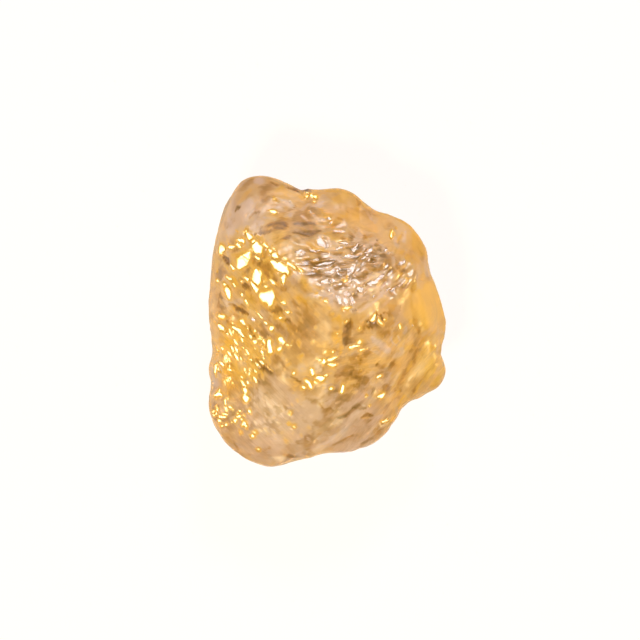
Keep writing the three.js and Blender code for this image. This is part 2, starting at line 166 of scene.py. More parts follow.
# Little facets turned to the gold light.
GOLD_GLINTS = [
    [(-10.6, 7.5, 0.3), (-10.3, 7, 0.7), (-10.2, 6.6, 0.3)], [(-10.2, 6.95, 0.6), (-9.8, 6.95, 0.2)],
    [(-9.55, 7, 0.15), (-9.2, 7.15, 0.3), (-8.7, 7.25, 0.15)], [(-8.6, 7.4, 0.25), (-8.25, 7.05, 0.15)],
    [(-8.45, 7.85, 0.2), (-8.1, 7.7, 0.35), (-7.95, 7.5, 0.15)], [(-7.95, 8.5, 0.2), (-7.65, 8.75, 0.3)],
    [(-7.75, 8.6, 0.2), (-7.4, 8.15, 0.4), (-7.15, 7.8, 0.45)],
    [(-6.95, 7.55, 0.5), (-6.62, 7, 0.8), (-6.38, 6.5, 0.4)],
    [(-7.4, 6.6, 0.25), (-7.8, 6.15, 0.7), (-8.15, 5.8, 0.85)], [(-8.2, 5.6, 0.8), (-8.45, 5.2, 0.4)],
    [(-6.9, 6.25, 0.2), (-6.45, 6, 0.25)], [(-5.95, 7.35, 0.25), (-5.6, 7, 0.2)],
    [(-6.7, 8.15, 0.2), (-6.3, 7.85, 0.15)], [(-5.45, 6.8, 0.25), (-5.1, 6.45, 0.45)],
    [(-5, 6.35, 0.45), (-4.6, 5.85, 0.2)], [(-5.4, 6.1, 0.12), (-5.95, 5.75, 0.12)],
    [(-5.25, 5.65, 0.35), (-4.7, 5.4, 0.7), (-4.2, 5, 0.75), (-3.85, 4.55, 0.45)],
    [(-4.1, 4.3, 0.3), (-4.15, 3.6, 0.2)], [(-4.15, 6.05, 0.2), (-3.8, 5.9, 0.2)],
    [(-3.7, 5.6, 0.2), (-3.3, 5.3, 0.35), (-3, 4.9, 0.2)], [(-2.8, 5.1, 0.15), (-2.4, 4.75, 0.25)],
    [(-5.5, 3.95, 0.2), (-5.1, 3.6, 0.25), (-4.75, 3.4, 0.1)],
    [(-6.75, 4.9, 0.3), (-6.7, 4.4, 0.7), (-6.75, 3.8, 0.65)],
    [(-7.3, 4, 0.15), (-6.95, 3.3, 0.35), (-6.5, 2.75, 0.4), (-6.2, 2.5, 0.5)],
    [(-6.1, 2.4, 0.7), (-5.5, 2.3, 1), (-5.4, 1.7, 0.5)], [(-7.9, 4.2, 0.2), (-7.5, 4, 0.3)],
    [(-9.95, 3.7, 0.2), (-9.65, 3.2, 0.45)], [(-9.6, 3, 0.45), (-9.5, 2.6, 0.45), (-9.35, 2.2, 0.2)],
    [(-9.7, 4.3, 0.12), (-9.2, 4, 0.18)], [(-9, 3.6, 0.2), (-8.7, 3.3, 0.12)],
    [(-11.2, 4.3, 0.12), (-10.9, 4.1, 0.2), (-10.4, 3.85, 0.2)], [(-9.3, 5.5, 0.12), (-8.9, 4.9, 0.2)],
    [(-10.7, 0.6, 0.2), (-10.2, 0.45, 0.3), (-9.6, 0.4, 0.2)],
    [(-10.9, -0.2, 0.2), (-10.2, -0.55, 0.3), (-9.7, -0.9, 0.25)],
    [(-9, -0.6, 0.2), (-8.4, -0.9, 0.3), (-8, -1.5, 0.2)], [(-8.2, 0, 0.25), (-7.9, -0.3, 0.2)],
    [(-4.3, 1.8, 0.2), (-4, 1.65, 0.25)], [(-4.1, 1, 0.12), (-3.7, 0.85, 0.2), (-3.4, 0.9, 0.12)],
    [(-4.8, 0.2, 0.12), (-4.4, 0.3, 0.22), (-4.1, 0.3, 0.1)], [(-6, -0.05, 0.15), (-5.7, -0.3, 0.2)],
    [(-5.3, -0.7, 0.42)], [(-6.9, 1, 0.1), (-6.2, 0.3, 0.14)], [(-7.8, 2, 0.18), (-7.4, 1.5, 0.12)],
    [(-5.55, -1.8, 0.3), (-5.5, -2.4, 0.38), (-5.35, -2.9, 0.42)], [(-4.45, -1.75, 0.48), (-4.1, -2, 0.25)],
    [(-3.9, -2.2, 0.2), (-3.3, -2.4, 0.12)], [(-4.55, -2.7, 0.4)],
    [(-6.4, -3.85, 0.18), (-6.05, -4.1, 0.2)], [(-5.9, -4.3, 0.1), (-5.1, -4.8, 0.12)],
    [(0.15, -3.68, 0.2), (0.55, -3.6, 0.26), (1.1, -3.35, 0.1)],
    [(0.2, -4.05, 0.18), (0.6, -4.2, 0.3), (0.85, -4.15, 0.2)], [(-0.25, -3.87, 0.42)],
    [(-0.9, -3.6, 0.1), (-0.5, -3.75, 0.15)], [(-1.4, -4.65, 0.3), (-1.35, -5.1, 0.25)],
    [(-0.78, -5.38, 0.38), (-0.55, -5.5, 0.48), (-0.32, -5.42, 0.34)],
    [(-0.2, -5.2, 0.15), (0.1, -5.2, 0.12)], [(-1.1, -5.85, 0.22)],
    [(-1.9, -5.75, 0.3), (-1.6, -6, 0.35), (-1.5, -6.3, 0.3)], [(-2.2, -6.35, 0.3)],
    [(1.55, -6.25, 0.28), (1.45, -6.75, 0.3)], [(0.45, -6.5, 0.25)], [(-3.15, -4.97, 0.28)],
    [(1.6, -0.15, 0.12), (1.9, -0.05, 0.22), (2.1, 0.05, 0.1)], [(-0.12, 1.9, 0.28)],
    [(1.5, 1.2, 0.2), (1.9, 1.25, 0.28), (2.3, 1.33, 0.15)], [(1, -1.2, 0.22)],
    [(-7.9, -6.5, 0.28), (-7.8, -6.75, 0.3)],
    [(-7.9, -7.3, 0.34), (-7.75, -7.5, 0.44), (-7.78, -7.72, 0.2)],
    [(-10.8, -7.2, 0.25), (-10.4, -7.05, 0.38), (-10.1, -7.15, 0.2)], [(-10.35, -6.7, 0.22)],
    [(-9.75, -7.6, 0.14), (-9.75, -8, 0.16)], [(-9.7, -8.3, 0.17), (-9.7, -8.8, 0.14)], [(-11.3, -8, 0.25)],
    [(-10.5, -8.55, 0.22)], [(-11.1, -8.9, 0.16), (-10.85, -8.72, 0.22)], [(-10.6, -8.95, 0.22)],
    [(-10.35, -9.25, 0.18), (-9.9, -9.3, 0.2)], [(-9.7, -10.05, 0.22)], [(-10.1, -10.2, 0.2)],
    [(-8.5, -8.95, 0.22)], [(-8.7, -9.3, 0.16), (-8.4, -9.2, 0.24)],
    [(-8.85, -9.5, 0.2), (-8.8, -9.75, 0.22)], [(-7.45, -8.65, 0.26)],
    [(-8.15, -10, 0.2), (-7.9, -9.85, 0.34), (-7.68, -10.15, 0.24)], [(-8.2, -10.7, 0.26)],
    [(-6.85, -10.7, 0.3)], [(-7.1, -11.1, 0.3)], [(-6.6, -12.35, 0.3)], [(-3.4, -8.75, 0.26)],
    [(-3.6, -9.85, 0.28)], [(-3.15, -10.15, 0.33)], [(4.9, -7.2, 0.2), (5.3, -7.2, 0.36), (5.6, -7, 0.15)],
    [(4.85, -5.45, 0.18), (5.15, -5.3, 0.22)], [(3.75, -7.25, 0.18)], [(4.1, -8.2, 0.16)],
    [(5.3, -9.7, 0.2), (5.8, -9.5, 0.25)], [(4.35, 0.05, 0.28), (4.6, 0.5, 0.2), (4.75, 0.9, 0.1)],
    [(4.95, 0.3, 0.1), (5, -0.1, 0.2), (5.3, -0.3, 0.18)], [(5.5, 0.15, 0.2)], [(3.1, -0.65, 0.22)],
    [(2.9, -2.15, 0.12), (3.2, -2, 0.3)], [(2.2, -2.5, 0.24), (2.6, -2.4, 0.2), (3.2, -2.35, 0.1)],
    [(3.1, -2.75, 0.2), (3.9, -2.6, 0.1)], [(7, -0.35, 0.18), (7.05, -0.65, 0.2)],
    [(-5.45, 10.58, 0.14), (-5.1, 10.48, 0.36), (-4.75, 10.4, 0.12)], [(-5, 11.68, 0.26)],
    [(6.6, 8.9, 0.16)], [(6.15, 8.65, 0.12), (6.3, 8.25, 0.28), (6.2, 7.95, 0.12)], [(-1.85, 12.3, 0.3)],
    [(-1.9, 12, 0.28)], [(-1.45, 12.05, 0.28)], [(-1.1, 11.95, 0.28)], [(-1.2, 11.5, 0.24)],
    [(3.75, 11.2, 0.24)], [(1.5, 3.95, 0.14)], [(1.72, 3.72, 0.14), (1.92, 3.92, 0.18)],
    [(1.9, 4.22, 0.16)], [(-1.25, -1.9, 0.2)], [(-2.7, -2.05, 0.16)], [(-2.62, -2.35, 0.16)],
    [(-2.35, -3.4, 0.18)], [(-0.1, -2.9, 0.2)], [(0.6, -2.95, 0.2)], [(-3.8, -3.75, 0.14)],
    [(-3.55, -4.1, 0.16)], [(-1.1, -0.6, 0.16)], [(-0.6, 2.15, 0.14)], [(0.65, 0.7, 0.16)],
    [(-0.95, 2.6, 0.16)], [(1.05, -2, 0.14)], [(-10.75, -4.9, 0.15), (-10.7, -4.3, 0.22)],
]
# Small random ones in round patches: place, radius, number, length, width and run.
GOLD_SPECKS = [
    ((-8.6, -3.2), 3, 80, 0.5, 0.15, -56), ((-9.8, -8.6), 1.9, 14, 0.2, 0.16, 0),
    ((-8, 5.4), 3.4, 20, 0.36, 0.14, -52),
]
# Little facets turned to the silver light.
SILVER_GLINTS = [
    [(-0.8, 7.9, 0.2), (-0.6, 7.55, 0.45), (-0.1, 7.25, 0.3)],
    [(-2.9, 6.6, 0.2), (-2.5, 6.72, 0.25), (-2.2, 6.4, 0.2), (-2.6, 6.2, 0.2)],
    [(1.3, 7.45, 0.12), (1.7, 7.5, 0.25), (2.1, 7.4, 0.1)],
    [(2.6, 6.8, 0.22), (2.85, 7.2, 0.22), (3.1, 7.5, 0.1)],
    [(3.9, 6.5, 0.12), (4.2, 6.75, 0.3), (4.5, 7, 0.1)], [(4.75, 7.7, 0.26)], [(4.05, 5.85, 0.22)],
    [(3.3, 5.9, 0.1), (4, 6.3, 0.18)], [(-1.5, 5, 0.12), (-0.3, 5, 0.22), (0.7, 5.3, 0.12)],
    [(-1, 5.35, 0.12), (0.2, 5.5, 0.22), (0.8, 5.6, 0.1)],
    [(-0.1, 4.7, 0.2), (0.4, 4.6, 0.4), (1.2, 4.9, 0.25)],
    [(2, 4.4, 0.3), (2.3, 4.8, 0.45), (2.7, 5.4, 0.25)], [(2.9, 4.7, 0.2), (3.05, 4.95, 0.2)],
    [(2.25, 3.7, 0.25), (2.45, 4, 0.35)], [(2.75, 3.9, 0.35), (3, 3.6, 0.42)],
    [(2.5, 3.45, 0.3), (2.7, 3.2, 0.26)], [(3, 3.1, 0.3), (3.3, 2.85, 0.38)],
    [(-0.5, 3.8, 0.2), (0, 3.75, 0.3), (0.4, 3.6, 0.1)], [(0.6, 3.5, 0.12), (1.4, 3.5, 0.22)],
    [(4, 3.6, 0.3), (4.5, 3.7, 0.4), (5.1, 4.1, 0.35), (5.5, 4.4, 0.15)],
    [(5.6, 5, 0.15), (5.8, 5.3, 0.28)], [(7, 5.5, 0.25), (7.4, 5.7, 0.4)],
    [(1.75, 2.6, 0.26), (2.15, 2.45, 0.32)], [(1.65, 2.15, 0.26), (1.95, 1.8, 0.34)],
    [(2.4, 2.2, 0.3), (2.6, 1.75, 0.3)], [(2.2, 1.5, 0.2)], [(1, 2.3, 0.3), (1.3, 1.7, 0.25)],
    [(2.4, 0.9, 0.12), (2.8, 1, 0.15)], [(5.6, 2.8, 0.12), (6.2, 3.2, 0.18)],
    [(6.1, 2.9, 0.1), (6.7, 3.3, 0.15)], [(4.5, 2.4, 0.22)], [(6, 6.6, 0.25)], [(-7.05, 0.12, 0.34)],
    [(8.25, -0.4, 0.16)], [(-3.45, 11.4, 0.24)], [(0.3, 9.8, 0.22)], [(0.5, 9.4, 0.28)],
    [(0.9, 6.9, 0.15), (1.5, 7, 0.2)], [(-1.6, 5.7, 0.12), (-0.8, 5.8, 0.18)],
]
SILVER_SPECKS = [
    ((0.4, 5.2), 2.4, 8, 0.6, 0.18, 6), ((3.4, 5), 3.2, 9, 0.45, 0.18, 36),
    ((2.4, 2.6), 1.4, 4, 0.5, 0.2, 60),
]
# A facet's dome; the warmth and tone of what is painted round it, a golden glow round the gold ones and
# a cool, darker tint of the reflection round the silver ones; how far from its middle line they reach
# (in its half widths); and the height of its ripples.
GOLD_FACET_AND_PAINTED_GLOW = {"dome": 0.08, "warmth": 1.1, "tone": 0.4, "reach": 1.5, "ripple": 0.003}
SILVER_FACET_AND_PAINTED_TINT = {"dome": 0.05, "warmth": -0.9, "tone": -0.65, "reach": 0.8, "ripple": 0.024}
FACET_EDGE = (1.15, 2.0)  # where a facet ends, in its half widths
FACET_FADE = 1.8  # times the reach, where its warmth and tone end
FACET_SHIFT = 0.4  # the most that a facet may move the skin
FACET_SPREAD = 0.02  # random lean of the small ones, as a slope
SMALL_FACET = (0.1, 0.3)  # half widths in which that lean ends
SPECK_SIZE = (0.6, 0.9)  # of a speck at least, and what is added at most
SPECK_TURN = 12  # that it may turn from its run, either way
SPECK_TIP = 0.5  # of its width, at its ends

# Brown strokes, each with its depth of tone.
DARK_STROKES = [
    (0.35, [(-8.8, 12.6, 0.5), (-7.9, 13.3, 0.8), (-7, 13.6, 0.4)]),
    (0.3, [(-5.8, 13.1, 1.2), (-5.5, 11.9, 0.9)]), (0.3, [(-9.9, 9.9, 0.5), (-9.5, 9.1, 0.6)]),
    (0.5, [(-9.9, 10.4, 0.3), (-9.5, 11.3, 0.35), (-8.9, 12.2, 0.2)]),
    (0.5, [(-9.2, 10.3, 0.2), (-9.1, 9.7, 0.4)]), (0.4, [(-10.1, 10, 0.15), (-10.2, 9.2, 0.2)]),
    (1.1, [(-8.75, 10.65, 0.12), (-8.5, 10.9, 0.3), (-8.25, 11.05, 0.15)]),
    (0.5, [(-7.5, 9.9, 0.1), (-7.2, 10.35, 0.2), (-6.4, 10.6, 0.12)]),
    (1, [(-5.7, 9.1, 0.15), (-4.9, 9.45, 0.3), (-4.2, 9.45, 0.35), (-3.7, 9.1, 0.15)]),
    (0.9, [(-7, 8.3, 0.2), (-6, 8.45, 0.35), (-5, 8.75, 0.3), (-4.2, 8.9, 0.15)]),
    (0.5, [(-6.2, 8.8, 0.3), (-4.9, 9.05, 0.5), (-4, 8.95, 0.3)]),
    (0.7, [(-3.1, 9.4, 0.15), (-2.2, 9.4, 0.35), (-1.2, 9.25, 0.15)]),
    (1, [(-3.2, 8.5, 0.15), (-1.8, 8.4, 0.3), (-0.5, 8.55, 0.12)]),
    (0.7, [(-5, 7.4, 0.15), (-4.4, 7.6, 0.3), (-3.6, 8.1, 0.2)]),
    (0.7, [(-5.3, 13.4, 0.15), (-4.7, 13.15, 0.25)]),
    (1.3, [(-3.6, 12.85, 0.2), (-2.7, 12.65, 0.4), (-1.5, 12.65, 0.25)]),
    (0.7, [(-4.1, 10.35, 0.12), (-3.4, 10.6, 0.2), (-3, 11.2, 0.15)]),
    (0.6, [(-4.8, 11.2, 0.12), (-4.6, 11.6, 0.18)]), (0.5, [(-6.2, 12.3, 0.7), (-6, 11.5, 0.5)]),
    (0.6, [(2.9, 11.9, 0.15), (3.15, 11.5, 0.35), (3, 11.2, 0.2)]),
    (0.8, [(5.75, 9, 0.35), (6.15, 9.15, 0.6)]), (0.4, [(6.2, 10.3, 0.12), (7.3, 9.6, 0.2)]),
    (0.8, [(6.9, 7.5, 0.25), (7.3, 8.2, 0.2)]), (0.3, [(9, 7.5, 0.15), (9.1, 6, 0.3)]),
    (0.5, [(1.9, 10.5, 0.15)]), (0.4, [(2.2, 10.6, 0.6), (4.6, 10.3, 0.6)]),
    (0.4, [(3, 8.4, 0.5), (3.6, 8, 0.4)]), (0.5, [(1.2, 9.9, 0.2), (1.5, 9.7, 0.2)]),
    (0.5, [(0.8, 5.6, 0.4), (1.6, 5.6, 0.5)]), (0.5, [(4, 5.3, 0.5), (4.4, 5, 0.4)]),
    (0.9, [(5.2, 6.2, 0.2), (5.55, 6.3, 0.4)]), (0.8, [(4.7, 7.2, 0.2), (5.2, 6.9, 0.4)]),
    (0.5, [(3.3, 4.7, 0.2), (3.8, 4.5, 0.4)]), (0.6, [(0.9, 3.15, 0.3), (2, 3.2, 0.35)]),
    (0.6, [(0.1, 4.2, 0.2), (1.2, 4.2, 0.35)]), (0.7, [(7, 4.2, 0.2), (7.5, 4.7, 0.5)]),
    (0.6, [(4.4, 2.8, 0.25), (5, 3, 0.35)]), (0.35, [(3, 1.2, 0.2), (3.8, 1.8, 0.3)]),
    (0.5, [(-1.4, 6.6, 0.3), (0.2, 6.5, 0.3)]), (0.5, [(-2, 4.4, 0.2), (-0.6, 4.4, 0.3)]),
    (0.6, [(0.8, 8.6, 0.2), (2, 8.5, 0.3), (2.6, 8.1, 0.2)]), (0.7, [(1.6, 7.9, 0.2), (2.3, 7.8, 0.3)]),
    (0.6, [(6.6, 5.8, 0.2), (6.8, 5, 0.3), (7.2, 4.6, 0.2)]), (2.2, [(4.78, 0.8, 0.1), (4.78, 0.5, 0.18)]),
    (2.2, [(5.1, 0.5, 0.12), (5.3, 0.2, 0.2)]),
    (2.3, [(3.85, -0.25, 0.12), (4.2, -0.15, 0.25), (4.4, -0.05, 0.12)]),
    (1, [(4, -0.68, 0.2), (4.3, -0.62, 0.2)]), (0.7, [(5.4, 0.75, 0.2), (5.8, 0.8, 0.15)]),
    (0.5, [(5.1, -1.35, 0.5), (5.9, -1.3, 0.7)]),
    (1.45, [(2.1, -0.15, 0.5), (2, -0.7, 0.8), (1.85, -1.4, 0.65), (1.8, -2.2, 0.25)]),
    (0.5, [(8.35, 3.2, 0.5), (8.4, 1.5, 0.6), (8.6, -0.2, 0.5), (9, -1.2, 0.2)]),
    (0.3, [(8, -2.9, 0.25), (8.4, -2.2, 0.35), (8.9, -1.5, 0.25)]),
    (0.45, [(9.3, -3.3, 0.2), (9.7, -2.6, 0.3), (10, -2.1, 0.2)]),
    (0.45, [(6.3, -7.4, 0.2), (7.4, -5.3, 0.3), (8.3, -3.9, 0.5), (9.3, -1.9, 0.4)]),
    (0.4, [(6.9, -7.4, 0.25), (7.2, -6, 0.35), (7.4, -4.7, 0.2)]),
    (0.4, [(8, -7.2, 0.2), (9.4, -5.6, 0.3), (10.4, -4.4, 0.2)]),
    (0.5, [(4.9, -4.2, 0.3), (5.4, -4.5, 0.3)]),
    (0.6, [(2.4, -5.2, 0.3), (3.1, -5.4, 0.4), (3.5, -5.2, 0.12)]), (0.7, [(3.9, -4.8, 0.25)]),
    (0.6, [(3.3, -3.7, 0.22)]), (0.4, [(3.4, -4.6, 0.3), (2.4, -4.9, 0.3)]),
    (0.3, [(0.9, -8, 0.4), (1.8, -7.4, 0.8), (2.9, -7, 0.7), (3.7, -6.6, 0.3)]),
    (0.4, [(0.3, -7, 0.4), (1.6, -6.6, 0.5), (3, -6.2, 0.3)]),
    (0.45, [(-0.2, -8.6, 0.15), (0.3, -8.4, 0.4), (0.9, -8.6, 0.35), (0.7, -9.1, 0.15)]),
    # a broad brown band that is painted shadow of a fold
    (0.45, [(1.2, -7.6, 0.7), (0.2, -9, 1.1), (-0.9, -10.4, 1.4), (-1.9, -11.8, 0.7)]),
    (0.3, [(-1.9, -7.3, 0.15), (-1.3, -7.7, 0.4), (-0.3, -8.3, 0.15)]),
    (0.4, [(1, -9.35, 0.15), (1.9, -9, 0.4), (2.8, -8.6, 0.3)]),
    (0.8, [(2.5, -8.4, 0.15), (3.1, -8.2, 0.4), (3.8, -8.4, 0.15)]),
    (0.8, [(3.3, -9.3, 0.15), (3.8, -9, 0.45), (4.4, -9.1, 0.15)]),
    (0.5, [(5.3, -9, 0.12), (5.8, -8.2, 0.25), (6.6, -7.3, 0.15)]),
    (0.4, [(3.5, -11.9, 0.3), (4.3, -11.4, 0.4), (5.2, -10.8, 0.5), (5.7, -10.4, 0.3)]),
    (0.6, [(4, -11.3, 0.12), (5, -10, 0.15)]), (0.6, [(4.4, -10.9, 0.12), (5.4, -9.8, 0.15)]),
    (0.4, [(-0.4, -10.8, 0.7), (-0.2, -11.4, 0.9)]),
    (0.4, [(-2.9, -13.1, 0.3), (-1.9, -12.7, 0.7), (-1.3, -13, 0.3)]),
    (0.6, [(-3, -11.7, 0.15), (-2.6, -11.6, 0.4), (-2.4, -11.3, 0.15)]),
    (0.3, [(0.6, -11.9, 0.12), (2.6, -11, 0.15)]),
    (3, [(-9.95, 6.4, 0.12), (-9.65, 5.9, 0.3), (-9.4, 5.35, 0.12)]),
    (0.2, [(-10.9, 6.2, 0.7), (-10.6, 5, 0.9)]),
    (1.4, [(-9.3, 1.7, 0.2), (-8.5, 1.2, 0.45), (-7.6, 0.7, 0.2)]),
    (0.5, [(-8.4, 3.7, 0.9), (-8, 2.9, 1.1), (-7.4, 2.3, 0.7)]),
    (0.55, [(-6.1, 5.4, 0.8), (-5.7, 4.8, 1.1), (-5.2, 4.2, 0.8)]),
    (0.6, [(-7.1, 6.4, 0.4), (-7.1, 5.7, 0.4)]), (0.6, [(-6.1, 6.1, 0.5), (-5.9, 6.9, 0.5)]),
    (0.5, [(-7.2, 2.4, 0.3), (-6.9, 1.9, 0.4)]), (0.4, [(-5.3, 3, 0.6), (-4.6, 2.3, 0.6)]),
    (1, [(-7, -3.7, 0.5), (-6.3, -4.25, 0.75), (-5.3, -4.9, 0.4)]),
    (0.5, [(-4, 0.15, 0.12), (-3.6, 0.15, 0.3)]), (0.7, [(-3.3, -5.4, 0.15), (-2.4, -5.9, 0.18)]),
    (0.5, [(-7.4, -0.5, 0.2), (-6.6, -2, 0.3)]), (0.25, [(-4.9, -3.2, 0.25), (-4.2, -3.8, 0.2)]),
    (0.25, [(-2.6, -0.6, 0.2), (-1.4, -1.8, 0.25)]), (0.25, [(-3.4, 1.6, 0.2), (-2.6, 0.6, 0.25)]),
    (0.6, [(-8.9, -11.8, 0.15), (-8.55, -12.4, 0.2)]), (0.4, [(-5.5, -12.2, 0.3)]),
    (0.4, [(-7.5, -12.9, 0.25)]), (0.4, [(-4.2, -12.9, 0.2), (-3, -13.2, 0.3)]),
    (0.2, [(-5.4, -5.9, 0.4), (-6.6, -5.6, 0.5)]),
]
# Pale lilac-grey strokes, each with its strength: partly the stone's pale colour, partly painted silvery
# sheen.
PALE_AND_SHEEN_STROKES = [
    (0.9, [(-6.9, 13.6, 0.4), (-6.4, 13.6, 0.7), (-6.2, 13.7, 0.3)]),
    (0.6, [(-8.9, 12.6, 0.3), (-8.3, 13.4, 0.5), (-7.6, 13.8, 0.3)]),
    (0.8, [(-4.6, 11.1, 0.4), (-3.9, 11.4, 0.8), (-3.4, 11.2, 0.6)]),
    (0.9, [(-3.9, 10.15, 0.3), (-3.4, 10.25, 0.5)]),
    (0.8, [(-7.4, 11.4, 0.7), (-8.3, 10.6, 0.9), (-8.9, 9.5, 1), (-9.2, 8.6, 0.8)]),
    (0.6, [(-6, 9.9, 0.2), (-5, 9.8, 0.3)]),
    (0.7, [(-7.5, 8.75, 0.2), (-6.9, 8.95, 0.45), (-6.5, 9.1, 0.2)]),
    (0.7, [(-6.9, 9.6, 0.3), (-6.2, 9.3, 0.4)]), (0.6, [(-5.2, 8.9, 0.3)]),
    (0.8, [(-2.3, 10.9, 0.4), (-1.6, 11.2, 0.5), (-0.8, 11.2, 0.8), (-0.4, 11.5, 0.3)]),
    (0.9, [(-1.9, -7.9, 0.8), (-1.4, -8.7, 1.5), (-0.8, -9.2, 0.8)]),
    (0.7, [(6.4, 5.8, 0.6), (6.7, 5, 0.5)]), (0.9, [(4.4, -1.6, 0.4), (5.1, -2.2, 0.8), (5.9, -2.8, 0.5)]),
    (0.7, [(6.6, -3.4, 0.4), (7.1, -3, 0.4), (7.4, -1.6, 0.4), (7.6, -0.6, 0.3)]),
    (0.7, [(3.1, 0.8, 0.3), (4.2, 1.6, 0.3), (5.2, 2.4, 0.3)]),
    (1.7, [(1.2, 2.6, 0.6), (1.8, 2.2, 1.2), (2.2, 1.5, 0.9)]), (0.6, [(-2.3, -4.5, 0.9)]),
    (0.6, [(-0.7, -4.5, 0.7)]),
    (0.9, [(6.3, -1.6, 0.18), (6.4, -2.1, 0.18), (6.9, -2.3, 0.2), (7.1, -1.9, 0.18), (6.9, -1.5, 0.15)]),
    (0.6, [(6.2, -0.5, 0.25), (7, -0.1, 0.15)]), (1.1, [(4.2, 3.8, 0.6), (4.8, 4.2, 0.7), (5.4, 4.6, 0.5)]),
    (0.7, [(7.1, 4, 0.5), (7.6, 3.8, 0.4)]), (0.7, [(0.9, 6, 0.3), (-0.4, 6.2, 0.4)]),
    (0.7, [(-1.6, 3.4, 0.3), (-0.6, 2.6, 0.4), (0.4, 2.4, 0.5)]),
    (1.6, [(2.4, 3.7, 0.8), (2.9, 3.3, 1), (3.2, 2.7, 0.6)]), (1.2, [(-0.4, 4.8, 0.5), (0.6, 4.6, 0.7)]),
    (0.5, [(3.1, -0.2, 0.12), (4, 0.4, 0.15), (4.6, 1, 0.12)]), (0.5, [(2, -10.6, 1.2), (3.4, -10.2, 1)]),
    (0.5, [(1, -12.2, 0.6), (2.4, -11.8, 0.5)]), (0.5, [(6.5, 8.2, 0.3), (6.7, 7.3, 0.5)]),
    (0.5, [(7.6, 8.6, 0.25), (7.5, 7.6, 0.4)]), (0.5, [(-4.6, -7.4, 1.2), (-5, -8.6, 1)]),
    (0.5, [(-6.8, -12, 1), (-5, -11.4, 1)]),
]
# Golden strokes, each with its strength: partly the stone's golden colour, partly painted golden glow and
# soft glints.
GOLD_AND_GLOW_STROKES = [
    (0.6, [(-7.3, 12.7, 0.5), (-7.7, 12.2, 0.5), (-8.4, 11.4, 0.3)]),
    (0.6, [(-10, 9.4, 0.15), (-9.9, 8.8, 0.2)]), (0.6, [(-9.5, 11.75, 0.15), (-9.3, 11.4, 0.25)]),
    (0.8, [(-4.8, 12.4, 0.4), (-4.2, 12.8, 0.6), (-3.8, 12.4, 0.5)]),
    (0.9, [(-3.9, 13.2, 0.2), (-3.3, 13.15, 0.3)]), (0.8, [(-2.4, 12.1, 0.6), (-1.2, 12.3, 0.8)]),
    (0.7, [(-0.6, 10.6, 0.8), (0.3, 10, 0.8)]),
    (0.7, [(0, 12.6, 0.25), (1.2, 12.65, 0.3), (2.6, 12.2, 0.3), (3.5, 11.4, 0.5), (4.2, 10.7, 0.3)]),
    (0.8, [(3.65, 11.2, 0.4)]), (0.6, [(0.9, 11.6, 0.8), (1.6, 11.9, 0.6)]),
    (0.8, [(0.3, 9.9, 0.35), (0.5, 9.4, 0.4)]),
    (0.7, [(4.8, 10.45, 0.2), (6.4, 10.2, 0.3), (8, 9.2, 0.35), (9, 7.9, 0.4), (9.5, 6.4, 0.4)]),
    (0.7, [(7.3, 8.6, 0.15), (7, 7.9, 0.25), (6.8, 7.6, 0.12)]),
    (0.6, [(8.5, 8.2, 0.7), (8.8, 7.2, 1), (8.9, 6.2, 0.9)]), (0.6, [(6.9, 6.6, 0.7), (7.6, 6.2, 0.8)]),
    (0.7, [(8.45, 1.4, 0.2), (8.4, 2, 0.25)]), (0.8, [(8.6, 2.3, 0.3), (8.8, 2.9, 0.4)]),
    (0.6, [(6.4, 0.3, 0.25)]), (0.8, [(7.7, -4.8, 0.15), (8, -4.3, 0.3), (8.25, -3.8, 0.12)]),
    (0.9, [(8.4, -7, 0.12), (8.9, -6.3, 0.28), (9.3, -5.7, 0.12)]),
    (0.7, [(9.8, -5.1, 0.12), (10, -4.6, 0.2)]),
    (1, [(9.9, 3.3, 1), (9.9, 1.8, 1.9), (10, 0.3, 1.7), (10.2, -0.9, 0.7)]),
    (0.8, [(3.3, -9.35, 0.12), (4.2, -9.3, 0.2)]),
    (0.8, [(-5.8, -9.25, 0.2), (-5.4, -9.4, 0.35), (-5.1, -9.3, 0.2)]), (0.8, [(1.1, -8.7, 0.25)]),
    (0.8, [(0.5, -10, 0.2)]), (0.8, [(10.2, -6.4, 0.5), (11, -5.4, 0.7), (11, -4, 0.6)]),
    (0.8, [(10.6, -3.2, 0.5), (11, -1.6, 0.7)]), (0.6, [(6.7, -8.4, 0.12), (7.4, -7.2, 0.15)]),
    (0.7, [(4.5, -7.2, 0.3), (5.2, -7.1, 0.7), (5.9, -6.8, 0.3)]),
    (0.7, [(5.9, -10, 0.2), (6.6, -9.3, 0.25)]), (0.5, [(-1.9, -11.95, 0.2), (-1.5, -11.6, 0.25)]),
    (0.6, [(-3.2, -6.2, 0.12), (-3.15, -7, 0.15)]), (0.7, [(-3.3, -7.6, 0.12), (-3.2, -8.3, 0.15)]),
    (0.8, [(-3.25, -9.3, 0.2)]), (0.9, [(-9.5, 6.9, 0.2), (-9.1, 6.5, 0.4), (-8.7, 6.1, 0.2)]),
    (0.9, [(-6.1, 4.3, 0.3), (-5.8, 3.5, 0.4), (-5.6, 2.8, 0.2)]),
    (0.8, [(-4.9, 0.15, 0.12), (-4.5, 0.3, 0.3), (-4.1, 0.35, 0.12)]),
    (0.7, [(-6.8, 1, 0.12), (-6.4, 0.5, 0.2), (-6, -0.1, 0.12)]),
    (0.7, [(-4.9, -1.2, 0.2), (-4.2, -1.4, 0.25)]),
    (0.6, [(0.8, 0.2, 0.4), (0.6, -1.2, 0.5), (0.8, -2.4, 0.4)]),
    (0.9, [(1.25, 0.5, 0.3), (1.3, -0.8, 0.3), (1.4, -2.3, 0.4), (1.3, -3, 0.3)]),
]
